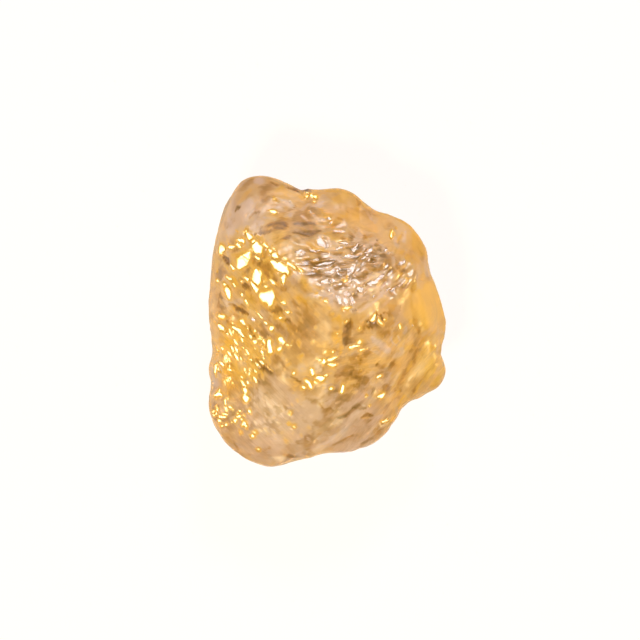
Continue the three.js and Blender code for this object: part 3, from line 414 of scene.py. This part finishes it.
# Painted pale gold glints: spots without a facet, in the form of the specks.
PAINTED_GLINT_SPOTS = [
    ((-3.6, -9.8), 2.4, 40, 0.3, 0.22, -56), ((-6.4, -8.6), 2.2, 22, 0.5, 0.2, -56),
    ((-2.6, -2.2), 4.6, 60, 0.34, 0.16, -42), ((-9.2, -8.4), 2.6, 26, 0.3, 0.2, -60),
    ((-8, 4.6), 4, 40, 0.5, 0.18, -54), ((1, -5.4), 3.4, 20, 0.3, 0.16, 20),
    ((-8.6, -3.4), 3.2, 90, 0.7, 0.16, -56),
]
# What a stroke of full strength adds to tone and warmth, and how soft its edge is.
DARK = {"tone": -0.9, "warmth": 0.5, "soft": 0.5}
PALE_AND_SHEEN = {"tone": 0.45, "warmth": -1.3, "soft": 0.5}
GOLDEN_AND_GLOW = {"tone": 0.4, "warmth": 1.0, "soft": 0.5}
# the look of a painted glint
PAINTED_GLINT = {"tone": 0.7, "warmth": 0.7, "soft": 0.7}
DARK_WIDER = 1.3
DARK_GROOVE = 0.05  # depth of a brown stroke
DARK_LOST = 0.7  # of its tone, where it crosses a facet

# Zones where the random patches are weaker: place in plan, radius and amount.
CALM_ZONES = [
    (-7.4, 11, 4, 0.6), (10, 1.6, 3.2, 0.6), (9, -1.2, 1.4, 0.7), (-5.6, -9.6, 4.6, 0.45),
    (-8.2, -11.6, 2.6, 0.6), (1.4, 11.2, 2.4, 0.5), (6.8, 8.6, 2.6, 0.5), (-1.6, -0.4, 2.6, 0.5),
    (-2.6, -2.8, 2.2, 0.55), (-2.4, 8.8, 2.6, 0.7), (8.8, -5, 3.4, 0.7), (-1.2, -10.4, 2.8, 0.5),
    (2.6, -10.8, 2.6, 0.4), (-5, -3.6, 1.2, 0.6), (1.8, -7.6, 2, 0.5), (4.8, -8, 1.4, 0.8),
    (3.5, 1.6, 1.3, 0.8), (6, 5.7, 1.2, 0.6),
]
# Zones where the crystal is warmer, or cooler if negative. Those along the right edge and over the glints
# on the left are painted warm glow.
WARMTH_AND_GLOW_ZONES = [
    (-7.4, 10.8, 4, -0.2), (2.2, 11.3, 2.6, 0.5), (6.6, 7.9, 2.4, -0.2), (9.8, 1.6, 3, 1),
    (11, -2.4, 3.6, 0.7), (8.6, -4.6, 3.4, 0.3), (-3.6, 0.8, 4.6, 0.3), (-8.5, -3.2, 3.6, 0.7),
    (-6, 5.2, 4.4, 0.4), (-6, -9.6, 5.4, -1.2), (2.2, -10.4, 5, -1.2), (2.4, 4.4, 4.6, -1),
    (4.6, -3.4, 3.4, 0.1), (-4.6, 8.8, 2, 0.7), (-1.6, -8, 4, -0.4), (-10.7, -5.4, 1.8, -0.9),
    (-5.2, -6.4, 2, -0.5), (10.9, -5, 2, 1.1), (11.2, 1.4, 2.4, 0.8), (9.2, 7.6, 2, 0.7), (2, 11.2, 2, 0.3),
    (-2.2, -12, 1.6, -0.9), (-7.2, 9.8, 1.8, -0.5), (-9.6, 10.4, 2.4, -0.5), (-10.9, 5, 2, 0.9),
    (-1.8, 6, 2, 0.3), (-5.6, -8.6, 2.8, -0.4), (6.8, 6.4, 2.4, 0),
]
# Zones where it is brighter, or darker if negative. The bright ones along the right edge and over the
# streak of glints on the left are painted glow.
TONE_AND_GLOW_ZONES = [
    (9.9, 1.6, 2.8, 0.5), (-8.6, -3.2, 3.4, 0.6), (-2.6, 8.6, 3.2, -0.1), (-3.4, 0.6, 3.6, -0.2),
    (2.2, -10.2, 3.4, -0.1), (3, 4.4, 4.6, -0.55), (-6, 4.4, 3.6, -0.2), (2, 11.4, 2.6, 0.2),
    (6.6, 8.4, 2.8, 0.55), (8.6, -4.6, 3, 0.1), (-7.4, 11, 3.6, -0.05), (-6, -8.6, 3.6, -0.3),
    (-0.9, -0.4, 2.2, -0.25), (-4.6, -4.6, 1.6, -0.4), (-2.2, -3.6, 2, -0.1), (-9.1, 0.3, 1, -0.3),
    (-9.9, -7.7, 1.2, -0.3), (-11.2, 4.6, 2.4, -0.05), (-3.2, 1.7, 1.8, 0.4), (4.8, 6.6, 3, -0.3),
    (-1.8, -1.2, 3.8, -0.2), (11, -2.6, 2.6, 0.4), (5, 8.6, 2, 0.1), (8.6, -3.6, 1.8, -0.2),
    (-5, -6.6, 2, -0.25), (10.9, -5, 2, 0.35), (0.6, 11.2, 1.8, -0.25), (2.2, 11.4, 1.6, -0.1),
    (-8.8, -10.2, 2.4, -0.1), (-1.5, 5.6, 1.8, -0.5), (5.4, -0.2, 1.8, -0.5), (-10.9, 5, 2.2, -0.15),
    (-10.9, 1.4, 1.8, -0.25), (10.2, 1.6, 2.4, 0.5), (11.2, -1.2, 1.8, 0.35), (-2.4, 9, 2.8, -0.25),
    (0.4, -5.2, 2.6, -0.2), (-5, -9.4, 3, -0.1), (-6.8, -9, 1.2, 0.35), (-6.2, -10.2, 1.1, 0.25),
    (-5.9, -6.9, 1.1, 0.2), (-8.8, -9.4, 2.6, -0.1), (3.5, 1.6, 1.4, 0.45),
]
# Zones whose skin is frosted.
FROST_ZONES = [
    (-0.4, -2.4, 3, 0.9), (8.6, -3.6, 2.4, 0.9), (0.9, -9.4, 1.3, 0.9), (-0.7, -6.9, 1.2, 0.9),
    (-4.9, -5.2, 1.1, 0.9), (-4.6, 9, 2.8, 0.9), (-1.8, 8.6, 1.8, 0.8), (-3.2, 12, 2.2, 0.7),
    (-0.3, 11.5, 1.8, 0.9), (-0.7, -10.5, 1.3, 0.9), (3.3, 9.8, 1.5, 0.8), (-5.2, -8.2, 1.5, 0.7),
    (-7, 11, 4, 0.4), (2, 11.6, 3, 0.3), (7, 8.2, 3.2, 0.8), (9.8, 1.6, 3, 0.9), (0.1, 1.7, 1.3, 1),
    (5.2, 2.5, 1, 0.9),
]
ZONE_CORE = 0.4  # of the radius of a zone, where it is full
# The rim's warmth and tone paint a bright golden glow along its edge; its frost is roughness.
RIM_GLOW_WARMTH, RIM_GLOW_TONE, RIM_FROST = 0.7, 0.55, 0.8  # of the steep rim

# Mottling. Waves have an amount, length and seed, and shards an amount, run, length, width and seed.
TONE_MOTTLE = {"wave": (0.35, 1.5, 31), "shards": (0.35, 20, 1.2, 0.8, 60)}
WARM_MOTTLE = {"wave": (0.45, 2.6, 33), "shards": (0.6, -40, 1.4, 1.0, 70)}
DARK_MOTTLE = {"wave": (0.2, 0.4, 35), "shards": (0.3, 10, 0.5, 0.3, 90)}

# ------------------------------ the crystal's finish

COOL = (0.88, 0.81, 0.96)
BEIGE = (0.94, 0.76, 0.49)
GOLD = (0.98, 0.66, 0.1)
HUES = [(0.0, COOL), (0.4, BEIGE), (1.0, GOLD)]  # by warmth
TINTS = [  # by tone
    (0.0, (0.13, 0.085, 0.01)), (0.25, (0.44, 0.33, 0.16)), (0.5, (0.775, 0.735, 0.69)), (1.0, (1, 1, 1)),
]
# Fine streaks of the finish: their run, and the round patches that they fill.
GRAINS = [
    (-44, [(-6, 1, 8.5), (-6.6, -9, 6)]), (50, [(8.4, -4, 6), (3.6, -9.4, 5.6)]),
    (12, [(1.4, 5.2, 6.4), (-2.6, 9.4, 4.6), (3, -3.4, 4)]),
]
GRAIN_LONG, GRAIN_WIDE = 1.2, 0.21
GRAIN_DETAIL, GRAIN_DISTORTION = 2, 1.0
GRAIN_SHADE = 0.9  # how much they darken and brighten
GRAIN_HIGH, GRAIN_BUMP = 0.03, 0.25
SMOOTH, FROSTED = 0.31, 0.6  # roughness
POLISH = -0.03  # added to the roughness of a facet
TRANSMISSION = 0.84
IOR = 1.58
SHINE = 1.0  # specular level, where 0.5 is that of the IOR alone
ABSORPTION, DENSITY = (0.82, 0.5, 0.05), 22.0  # the colour that is let through

# ------------------------------ helpers

HASH_STEPS = (374761393, 668265263, 2147483647)
HASH_STIR = 1274126177


def direction(azimuth):
    a = math.radians(azimuth)
    return math.cos(a), math.sin(a)


def smoothstep(values, low, high):
    t = np.clip((values - low) / (high - low), 0, 1)
    return t * t * (3 - 2 * t)


def grid_value(i, j, k, seed):
    """A repeatable number from 0 to 1 for each point of the integer grid."""
    mixed = sum(axis.astype(np.uint32) * np.uint32(step) for axis, step in zip((i, j, k), HASH_STEPS))
    mixed = mixed + np.uint32(seed * HASH_STIR % 2**32)
    mixed = (mixed ^ (mixed >> np.uint32(13))) * np.uint32(HASH_STIR)
    mixed = mixed ^ (mixed >> np.uint32(16))
    return (mixed & np.uint32(0xFFFFFF)).astype(float) / 0xFFFFFF


def noise(points, seed):
    """Smooth noise from -1 to 1, with one lump to about every unit of length."""
    floor = np.floor(points).astype(np.int64)
    t = points - floor
    t = t * t * t * (t * (t * 6 - 15) + 10)
    total = 0
    for corner in itertools.product((0, 1), repeat=3):
        share = np.where(corner, t, 1 - t).prod(1)
        total = total + share * grid_value(*(floor + corner).T, seed)
    return 2 * total - 1


def wave(points, amount, length, seed):
    return amount * noise(points / length, seed)


def patch(points, at, radius):
    """1 inside a round patch of the plan, falling to 0 at its edge."""
    away = np.hypot(points[:, 0] - at[0], points[:, 1] - at[1])
    return 1 - smoothstep(away, radius * ZONE_CORE, radius)


def turned(points, run):
    """Distances along and across a run."""
    ca, sa = direction(run)
    x, y = points[:, 0], points[:, 1]
    return x * ca + y * sa, y * ca - x * sa


def streaks(points, run, long, wide, number, ridged):
    along, across = turned(points, run)
    across = across + STREAK_WANDER * wide * noise(points / (wide * STREAK_BEND), number + WANDER_SEED)
    place = np.stack([along / long, across / wide, points[:, 2] / wide * HEIGHT_SHARE], 1)
    value = noise(place, number + STREAK_SEED)
    return 1 - 2 * np.abs(value) if ridged else value


def shards(points, run, long, wide, seed):
    """A random value from -1 to 1 for each of many angular patches that are long along a run."""
    along, across = turned(points, run)
    place = np.stack([along / long, across / wide, points[:, 2] / wide * HEIGHT_SHARE], 1)
    floor = np.floor(place).astype(np.int64)
    nearest = np.full(len(points), FAR)
    value = np.zeros(len(points))
    for shift in itertools.product((-1, 0, 1), repeat=3):
        cell = floor + shift
        middle = cell + np.stack([grid_value(*cell.T, seed + number) for number in range(3)], 1)
        away = ((place - middle) ** 2).sum(1)
        value = np.where(away < nearest, grid_value(*cell.T, seed + 3), value)
        nearest = np.minimum(nearest, away)
    return 2 * value - 1


def ribs(points, run, spacing, seed):
    along, across = turned(points, run)
    place = np.stack([along, across, points[:, 2]], 1) / spacing / RIB_LUMPS
    phase = across / spacing + RIB_WANDER * noise(place, seed)
    return 4 * np.abs(phase - np.floor(phase) - 0.5) - 1


def distance_from(points, path):
    """Distance in the plan from a path of (x, y, width) points, counted in its half widths."""
    reach = 2 * max(width for *_, width in path)  # four half widths, more than any use needs
    x, y = points[:, 0], points[:, 1]
    xs, ys = [place[0] for place in path], [place[1] for place in path]
    near = (x > min(xs) - reach) & (x < max(xs) + reach) & (y > min(ys) - reach) & (y < max(ys) + reach)
    x, y = x[near], y[near]
    nearest = np.full(len(x), FAR)
    for (x0, y0, w0), (x1, y1, w1) in zip(path, path[1:] or path):
        dx, dy = x1 - x0, y1 - y0
        t = np.clip(((x - x0) * dx + (y - y0) * dy) / max(dx * dx + dy * dy, TINY), 0, 1)
        away = np.hypot(x - x0 - t * dx, y - y0 - t * dy) / ((w0 + t * (w1 - w0)) / 2)
        nearest = np.minimum(nearest, away)
    distance = np.full(len(points), FAR)
    distance[near] = nearest
    return distance


def stroke(points, path, soft, wider=1.0):
    """1 on a path, falling to 0 around its edge."""
    return 1 - smoothstep(distance_from(points, path) / wider, 1 - soft, 1 + soft)


def scattered(groups, random):
    """Random short strokes in round patches."""
    paths = []
    for at, radius, number, long, wide, run in groups:
        for _ in range(number):
            away = radius * math.sqrt(random.random())
            ca, sa = direction(360 * random.random())
            x, y = at[0] + away * ca, at[1] + away * sa
            size = SPECK_SIZE[0] + SPECK_SIZE[1] * random.random()
            cr, sr = direction(run + SPECK_TURN * (2 * random.random() - 1))
            dx, dy = size * long / 2 * cr, size * long / 2 * sr
            tip = SPECK_TIP * size * wide
            paths.append([(x - dx, y - dy, tip), (x, y, size * wide), (x + dx, y + dy, tip)])
    return paths


# ------------------------------ the crystal's mesh


def array_of(collection, attribute, width, kind):
    values = np.zeros(len(collection) * width, kind)
    collection.foreach_get(attribute, values)
    return values.reshape(-1, width)


def copy_of(node):
    bm = bmesh.new()
    bm.from_mesh(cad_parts[node].data)
    bmesh.ops.remove_doubles(bm, verts=bm.verts, dist=WELD * MM)
    mesh = bpy.data.meshes.new("crystal_surface")
    bm.to_mesh(mesh)
    bm.free()
    return mesh


def divide(mesh, wanted):
    """Halves every edge whose two ends are wanted, and divides the triangles with it."""
    bm = bmesh.new()
    bm.from_mesh(mesh)
    ends = [[vertex.index for vertex in edge.verts] for edge in bm.edges]
    chosen = [edge for edge, (a, b) in zip(bm.edges, ends) if wanted[a] and wanted[b]]
    bmesh.ops.subdivide_edges(bm, edges=chosen, cuts=1, use_grid_fill=True)
    bmesh.ops.triangulate(bm, faces=bm.faces[:])
    bm.to_mesh(mesh)
    bm.free()
    return array_of(mesh.vertices, "co", 3, float) / MM


def move_to(mesh, points):
    mesh.vertices.foreach_set("co", (points * MM).ravel())


def neighbour_mean(mesh, values):
    """For each vertex, the mean of its neighbours' rows of values."""
    edges = array_of(mesh.edges, "vertices", 2, np.int64)
    number = np.bincount(edges.ravel(), minlength=len(values))
    total = np.zeros_like(values)
    for column in range(values.shape[1]):
        for end in (0, 1):
            total[:, column] += np.bincount(edges[:, end], values[edges[:, 1 - end], column], len(values))
    return total / number[:, None]


def smooth(mesh, rounds):
    """Rounds the solid's edges off, but leaves what the crystal rests on as it is."""
    points = array_of(mesh.vertices, "co", 3, float) / MM
    resting = points[:, 2] < RESTING
    for step in SMOOTHING * rounds:
        moved = points + step * (neighbour_mean(mesh, points) - points)
        points = np.where(resting[:, None], points, moved)
    move_to(mesh, points)
    return points


def soften_seam(mesh, points):
    """Evens out the seam between the walls and the underside."""
    z, (low, high) = points[:, 2], SEAM
    share = smoothstep(z, low - SEAM_FADE, low) * (1 - smoothstep(z, high, high + SEAM_FADE))
    for _ in range(SEAM_ROUNDS):
        points = points + SEAM_STEP * share[:, None] * (neighbour_mean(mesh, points) - points)
    move_to(mesh, points)


def normals_of(points, triangles):
    a, b, c = (points[triangles[:, corner]] for corner in range(3))
    facing = np.cross(b - a, c - a)
    normals = np.zeros_like(points)
    for corner in range(3):
        for axis in range(3):
            normals[:, axis] += np.bincount(triangles[:, corner], facing[:, axis], len(points))
    return normals / np.linalg.norm(normals, axis=1)[:, None]


def near_paths(points, paths, margin):
    """True for the points of the crown that lie within a margin of a path."""
    near = np.zeros(len(points), bool)
    for path in paths:
        wider = [(x, y, width + 2 * margin) for x, y, width in path]
        near |= distance_from(points, wider) < 1
    return near & (points[:, 2] > CROWN[1])


random = np.random.default_rng(SEED)
gold = scattered(GOLD_SPECKS, random) + GOLD_GLINTS
silver = scattered(SILVER_SPECKS, random) + SILVER_GLINTS
painted_glints = scattered(PAINTED_GLINT_SPOTS, random)

mesh = copy_of("morganite_crystal")
divide(mesh, np.ones(len(mesh.vertices), bool))
points = smooth(mesh, COARSE_ROUNDS)
soften_seam(mesh, points)
divide(mesh, points[:, 2] > CROWN[1] - FINE_BELOW)
points = smooth(mesh, FINE_ROUNDS)
detailed = near_paths(points, gold + silver, FACET_MARGINS[0])
for x, y, radius in DETAIL_ZONES:
    detailed |= (points[:, 2] > CROWN[1]) & (np.hypot(points[:, 0] - x, points[:, 1] - y) < radius)
points = divide(mesh, detailed)
points = divide(mesh, near_paths(points, gold + silver, FACET_MARGINS[1]))
normals = normals_of(points, array_of(mesh.polygons, "vertices", 3, np.int64))
count = len(points)

# ------------------------------ relief, tone and warmth

crown = smoothstep(points[:, 2], *CROWN)
open_crown = crown * smoothstep(normals[:, 2], *OPEN_SLOPE)
rim = 1 - smoothstep(normals[:, 2], *RIM_SLOPE)
under = (1 - crown) * smoothstep(-normals[:, 2], *UNDER_SLOPE)
for _ in range(UNDER_ROUNDS):
    under = neighbour_mean(mesh, under[:, None])[:, 0]

outer = smoothstep(np.hypot(points[:, 0], points[:, 1]), *OUTLINE_REACH)
outer *= smoothstep(points[:, 2], *OUTLINE_HEIGHT)
behind = smoothstep(points[:, :2] @ BACK_WAY, *BACK_REACH) * (1 - smoothstep(normals[:, 2], *BACK_SLOPE))
azimuth = np.degrees(np.arctan2(points[:, 1], points[:, 0])) % 360
outward = points[:, :2] / np.linalg.norm(points[:, :2], axis=1)[:, None]
points[:, :2] += outward * (outer * np.interp(azimuth, *zip(*OUTLINE)))[:, None]
points[:, :2] += outward * (behind * np.interp(points[:, 2], *zip(*BACK_WALL)))[:, None]

ragged = points.copy()
for axis in (0, 1):
    for amount, length, seed in RAGGED_WAVES:
        ragged[:, axis] += wave(points, amount, length, seed + axis)


def mottle(look):
    """Soft waves and angular shards over the whole skin."""
    amount, *shape = look["shards"]
    return wave(points, *look["wave"]) + amount * shards(ragged, *shape)


def shares_of(zones):
    """For each zone, its amount over the crown."""
    return [crown * amount * patch(points, (x, y), radius) for x, y, radius, amount in zones]


rise = wave(points, *SWELL) + crown * np.abs(wave(ragged, *HACKLE))
tone = mottle(TONE_MOTTLE)
warm = mottle(WARM_MOTTLE)
for number, (at, radius, run, long, wide, high, shade, ridged) in enumerate(STREAKS):
    share = open_crown * patch(points, at, radius)
    inside = share > 0
    share, edged = share[inside], ragged[inside]
    pattern = streaks(points[inside], run, long, wide, number, ridged)
    shades = shards(edged, run, SHADE_SHARD[0] * long, SHADE_SHARD[1] * wide, 4 * number + SHADE_SEED)
    hues = shards(edged, run, HUE_SHARD[0] * long, HUE_SHARD[1] * wide, 4 * number + HUE_SEED)
    rise[inside] += share * high * pattern
    # painted shade in the streaks' hollows and painted light on their crests, with random tone
    tone[inside] += share * shade * (RELIEF_PAINTED_SHADE * pattern + SHARD_SHADE * shades)
    warm[inside] += share * shade * hues
for number, (run, spacing, high) in enumerate(UNDER_RIBS):
    rise += under * high * ribs(points, run, spacing, number + RIB_SEED)
rise -= under * UNDER_SINK
for share in shares_of(CALM_ZONES):
    warm *= 1 - share
    tone *= 1 - share
# warmth, partly painted glow of the warm lights
for share in shares_of(WARMTH_AND_GLOW_ZONES):
    warm += share
# tone, partly painted glow of the warm lights
for share in shares_of(TONE_AND_GLOW_ZONES):
    tone += share
# painted golden glow along the steep rim
warm += RIM_GLOW_WARMTH * rim
tone += RIM_GLOW_TONE * rim * crown

dark = np.zeros(count)
for depth, path in DARK_STROKES:
    dark = np.maximum(dark, crown * depth * stroke(ragged, path, DARK["soft"], DARK_WIDER))
uneven = 1 + mottle(DARK_MOTTLE)
rise -= DARK_GROOVE * open_crown * dark
warm += DARK["warmth"] * dark


def paint(strokes, look):
    """Adds strokes to the crown's tone and warmth."""
    for strength, path in strokes:
        share = strength * crown * stroke(ragged, path, look["soft"])
        tone[:] += look["tone"] * share
        warm[:] += look["warmth"] * share


# pale colour, partly painted silvery sheen
paint(PALE_AND_SHEEN_STROKES, PALE_AND_SHEEN)
# golden colour, partly painted golden glow and soft glints
paint(GOLD_AND_GLOW_STROKES, GOLDEN_AND_GLOW)
# painted glints
paint([(1, path) for path in painted_glints], PAINTED_GLINT)
points = points + normals * rise[:, None]
polish = np.zeros(count)


def set_facets(paths, light, look):
    """Turns small patches of the crown to reflect a light straight up, a little domed across."""
    turn, elevation, *_ = LIGHTS[light]
    ca, sa = direction(turn)
    lean = math.tan(math.radians(90 - elevation) / 2)
    ripples = wave(ragged, look["ripple"], RIPPLE_LENGTH, RIPPLE_SEED)
    for path in paths:
        away = distance_from(ragged, path)
        share = open_crown * (1 - smoothstep(away, *FACET_EDGE))
        if share.max() < 0.5:  # it isn't on the open crown
            continue
        middle = (share[:, None] * points).sum(0) / share.sum()
        half_width = sum(width for *_, width in path) / len(path) / 2
        aside = random.normal(0, FACET_SPREAD * (1 - smoothstep(half_width, *SMALL_FACET)), 2)
        plane = middle[2] - (lean * ca + aside[0]) * (points[:, 0] - middle[0])
        plane -= (lean * sa + aside[1]) * (points[:, 1] - middle[1])
        plane -= look["dome"] * half_width * np.minimum(distance_from(points, path), FACET_EDGE[1]) ** 4 / 4
        plane += ripples
        points[:, 2] += share * np.clip(plane - points[:, 2], -FACET_SHIFT, FACET_SHIFT)
        polish[:] = np.maximum(polish, share)
        # painted golden glow round gold facets, painted cool tint of the reflection round silver ones
        around = open_crown * (1 - smoothstep(away, look["reach"], FACET_FADE * look["reach"]))
        warm[:] += (look["warmth"] - warm) * around
        tone[:] += (look["tone"] - tone) * around


set_facets(silver, "silver_softbox", SILVER_FACET_AND_PAINTED_TINT)
set_facets(gold, "gold_light", GOLD_FACET_AND_PAINTED_GLOW)
tone += DARK["tone"] * dark * uneven * (1 - DARK_LOST * polish)
frost = np.max([under, RIM_FROST * rim * crown, *shares_of(FROST_ZONES)], axis=0)
grains = []
for _, zones in GRAINS:
    grains.append(crown * np.max([patch(points, (x, y), radius) for x, y, radius in zones], axis=0))

low, high = (np.array(corner) / MM for corner in cad_box)
points = np.clip(points, low - BOX_MARGIN, high + BOX_MARGIN)
points[:, 2] = np.maximum(points[:, 2], 0)
move_to(mesh, points)


def add_colours(name, *channels):
    """Adds a colour attribute of up to four channels, from 0 to 1."""
    values = np.ones((count, 4))
    for number, channel in enumerate(channels):
        values[:, number] = np.clip(channel, 0, 1)
    mesh.color_attributes.new(name, "FLOAT_COLOR", "POINT").data.foreach_set("color", values.ravel())


add_colours("masks", 0.5 + warm / 2, 0.5 + tone / 2, frost * (1 - polish), polish)
add_colours("grains", *grains)
mesh.update()
for polygon in mesh.polygons:
    polygon.use_smooth = True
crystal = bpy.data.objects.new("crystal", mesh)
bpy.context.scene.collection.objects.link(crystal)

# ------------------------------ material


def set_inputs(node, values):
    for name, value in values.items():
        node.inputs[name].default_value = value


def colour_ramp(tree, factor, stops):
    """Colours at places from 0 to 1."""
    ramp = tree.nodes.new("ShaderNodeValToRGB")
    for place, _ in stops[2:]:
        ramp.color_ramp.elements.new(place)
    for element, (place, colour) in zip(ramp.color_ramp.elements, stops):
        element.position = place
        element.color = (*colour, 1)
    tree.links.new(factor, ramp.inputs[0])
    return ramp.outputs[0]


material = bpy.data.materials.new("morganite")
material.use_nodes = True
tree = material.node_tree
nodes, links = tree.nodes, tree.links
shader = nodes["Principled BSDF"]
set_inputs(shader, {"Transmission Weight": TRANSMISSION, "IOR": IOR, "Specular IOR Level": SHINE})


def channels_of(attribute):
    """A colour attribute's red, green, blue and alpha."""
    colours = nodes.new("ShaderNodeAttribute")
    colours.attribute_name = attribute
    parted = nodes.new("ShaderNodeSeparateColor")
    links.new(colours.outputs["Color"], parted.inputs[0])
    return (*parted.outputs, colours.outputs["Alpha"])


def multiply_add(first, second, added):
    """Multiplies an output by another or a number, and adds a third."""
    node = nodes.new("ShaderNodeMath")
    node.operation = "MULTIPLY_ADD"
    for socket, value in zip(node.inputs, (first, second, added)):
        if isinstance(value, bpy.types.NodeSocket):
            links.new(value, socket)
        else:
            socket.default_value = value
    return node.outputs[0]


def grain_texture(place, run):
    """Noise from -0.5 to 0.5 that is drawn out along a run."""
    turn = nodes.new("ShaderNodeMapping")
    turn.inputs["Rotation"].default_value[2] = math.radians(-run)
    links.new(place, turn.inputs["Vector"])
    stretch = nodes.new("ShaderNodeMapping")
    stretch.inputs["Scale"].default_value = [1 / MM / size for size in (GRAIN_LONG, GRAIN_WIDE, GRAIN_LONG)]
    links.new(turn.outputs[0], stretch.inputs["Vector"])
    texture = nodes.new("ShaderNodeTexNoise")
    set_inputs(texture, {"Scale": 1, "Detail": GRAIN_DETAIL, "Distortion": GRAIN_DISTORTION})
    links.new(stretch.outputs[0], texture.inputs["Vector"])
    return multiply_add(texture.outputs[0], 1, -0.5)


warmth, brightness, frosted, polished = channels_of("masks")
toned = nodes.new("ShaderNodeVectorMath")
toned.operation = "MULTIPLY"
links.new(colour_ramp(tree, warmth, HUES), toned.inputs[0])
links.new(colour_ramp(tree, brightness, TINTS), toned.inputs[1])

place = nodes.new("ShaderNodeTexCoord").outputs["Object"]
grained = 0
for (run, _), share in zip(GRAINS, channels_of("grains")):
    grained = multiply_add(grain_texture(place, run), share, grained)
streaked = nodes.new("ShaderNodeVectorMath")
streaked.operation = "SCALE"
links.new(toned.outputs[0], streaked.inputs[0])
links.new(multiply_add(grained, GRAIN_SHADE, 1), streaked.inputs["Scale"])
links.new(streaked.outputs[0], shader.inputs["Base Color"])
bump = nodes.new("ShaderNodeBump")
set_inputs(bump, {"Strength": GRAIN_BUMP, "Distance": GRAIN_HIGH * MM})
links.new(grained, bump.inputs["Height"])
links.new(bump.outputs[0], shader.inputs["Normal"])
skin = nodes.new("ShaderNodeMapRange")
set_inputs(skin, {"To Min": SMOOTH, "To Max": FROSTED})
links.new(frosted, skin.inputs["Value"])
links.new(multiply_add(polished, POLISH, skin.outputs[0]), shader.inputs["Roughness"])

absorption = nodes.new("ShaderNodeVolumeAbsorption")
set_inputs(absorption, {"Color": (*ABSORPTION, 1), "Density": DENSITY})
links.new(absorption.outputs["Volume"], nodes["Material Output"].inputs["Volume"])
mesh.materials.append(material)

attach(crystal, "root")
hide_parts("morganite_crystal")

# ------------------------------ table, light and camera

bpy.ops.mesh.primitive_plane_add(size=TABLE_WIDTH * MM, location=(0, 0, -TABLE_GAP * MM))
table = bpy.context.object
table.name = "table"
table_top = bpy.data.materials.new("table_top")
table_top.use_nodes = True
top = table_top.node_tree.nodes["Principled BSDF"]
set_inputs(top, {"Base Color": (*TABLE_COLOUR, 1), "Roughness": TABLE_ROUGHNESS})
set_inputs(top, {"Emission Color": (*TABLE_GLOW, 1), "Emission Strength": TABLE_GLOW_STRENGTH})
table.data.materials.append(table_top)

scene = bpy.context.scene
world = bpy.data.worlds.new("studio")
scene.world = world
world.use_nodes = True
sky = world.node_tree
view = sky.nodes.new("ShaderNodeTexCoord")
parted = sky.nodes.new("ShaderNodeSeparateXYZ")
sky.links.new(view.outputs["Generated"], parted.inputs[0])
sky.links.new(colour_ramp(sky, parted.outputs["Z"], SKY), sky.nodes["Background"].inputs[0])

aim = Vector(AIM) * MM
for name, (turn, elevation, wide, radiance, colour) in LIGHTS.items():
    lamp = bpy.data.lights.new(name, "AREA")
    lamp.size = wide * MM
    lamp.energy = radiance * math.pi * lamp.size**2
    lamp.color = colour
    holder = bpy.data.objects.new(name, lamp)
    ca, sa = direction(turn)
    ce, se = direction(elevation)
    holder.location = aim + Vector((ca * ce, sa * ce, se)) * LIGHT_DISTANCE * MM
    holder.rotation_euler = (aim - holder.location).to_track_quat("-Z", "Y").to_euler()
    scene.collection.objects.link(holder)

lens = bpy.data.cameras.new("camera")
lens.lens = CAMERA_LENS_MM
lens.sensor_width = CAMERA_SENSOR_MM
lens.clip_start = CAMERA_NEAR * MM
camera = bpy.data.objects.new("camera", lens)
scene.collection.objects.link(camera)
camera.location = aim + Vector((0, 0, VIEW_WIDTH * CAMERA_LENS_MM / CAMERA_SENSOR_MM * MM))
scene.camera = camera

scene.view_settings.view_transform = "Standard"
scene.cycles.max_bounces = BOUNCES
scene.cycles.transmission_bounces = BOUNCES
scene.cycles.glossy_bounces = GLOSSY_BOUNCES
